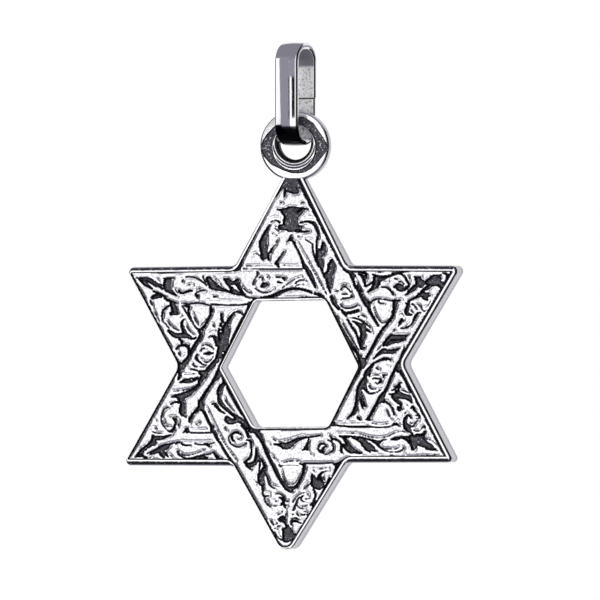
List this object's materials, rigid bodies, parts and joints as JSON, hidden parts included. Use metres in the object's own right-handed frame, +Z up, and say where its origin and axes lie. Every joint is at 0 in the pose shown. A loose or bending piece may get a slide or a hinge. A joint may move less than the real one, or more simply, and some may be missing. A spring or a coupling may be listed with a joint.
{
  "type": "star of david pendant",
  "caption": "Flat cast star pendant of interlaced bands with raised scroll and leaf relief and an open window, hung from a flat strip bail.",
  "frame": {"origin": "where the chain lies in the bail, at the middle of its inner top", "axes": "+Z up the hanging pendant, -Y out of the relief face, +X to the right as the relief is seen"},
  "size_m": [0.0283, 0.0038, 0.0408],
  "materials": {
    "oxidised_cast_silver": "cast silver with polished relief and blackened ground",
    "polished_silver": "polished"
  },
  "bodies": {
    "bail": {"bail": "polished_silver"},
    "star": {"star": "oxidised_cast_silver"}
  },
  "joints": [
    {"name": "star_swing", "type": "hinge", "parent": "bail", "child": "star", "pos_m": [0, 0, -0.0061], "axis": [1, 0, 0], "range_deg": [-40, 40]}
  ]
}
